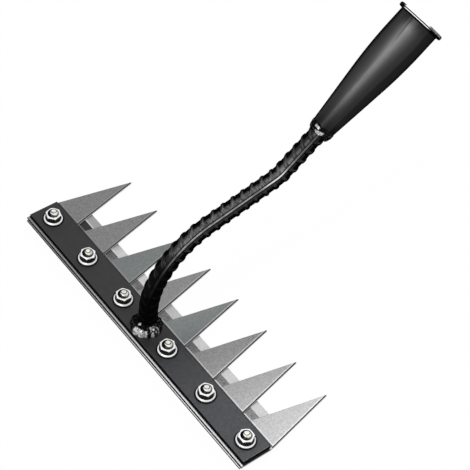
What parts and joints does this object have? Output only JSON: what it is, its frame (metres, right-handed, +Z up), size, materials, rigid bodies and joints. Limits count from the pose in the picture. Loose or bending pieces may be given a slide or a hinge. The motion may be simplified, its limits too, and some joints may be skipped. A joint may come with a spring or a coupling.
{
  "type": "weeding rake head",
  "caption": "Flat clamp bar with a toothed blade over a straight ground blade on a row of bolts, and a bent ribbed neck welded to a tapered socket for a handle.",
  "frame": {"origin": "on the ground, under the middle of the head's outline, with the head lying on its bolt heads and tooth tips", "axes": "+X along the clamp bar, +Y from the clamp bar towards the tooth tips and the socket's mouth, +Z up"},
  "size_m": [0.333, 0.3314, 0.2444],
  "materials": {
    "bar_paint": "charcoal satin paint",
    "brushed_blade": "finely brushed steel",
    "ground_blade": "brushed steel with a ground bevel",
    "bright_zinc": "bright zinc plating",
    "neck_paint": "glossy black paint",
    "weld_metal": "rough weld metal, partly painted black",
    "socket_paint": "black semi-gloss paint"
  },
  "bodies": {
    "root": {"clamp_bar": "bar_paint", "toothed_blade": "brushed_blade", "straight_blade": "ground_blade", "bolt_1": "bright_zinc", "bolt_2": "bright_zinc", "bolt_3": "bright_zinc", "bolt_4": "bright_zinc", "bolt_5": "bright_zinc", "bolt_6": "bright_zinc", "flange_nut_1": "bright_zinc", "flange_nut_2": "bright_zinc", "flange_nut_3": "bright_zinc", "flange_nut_4": "bright_zinc", "flange_nut_5": "bright_zinc", "flange_nut_6": "bright_zinc", "neck_bar": "neck_paint", "foot_weld": "weld_metal", "socket_weld": "weld_metal", "handle_socket": "socket_paint"}
  },
  "joints": []
}
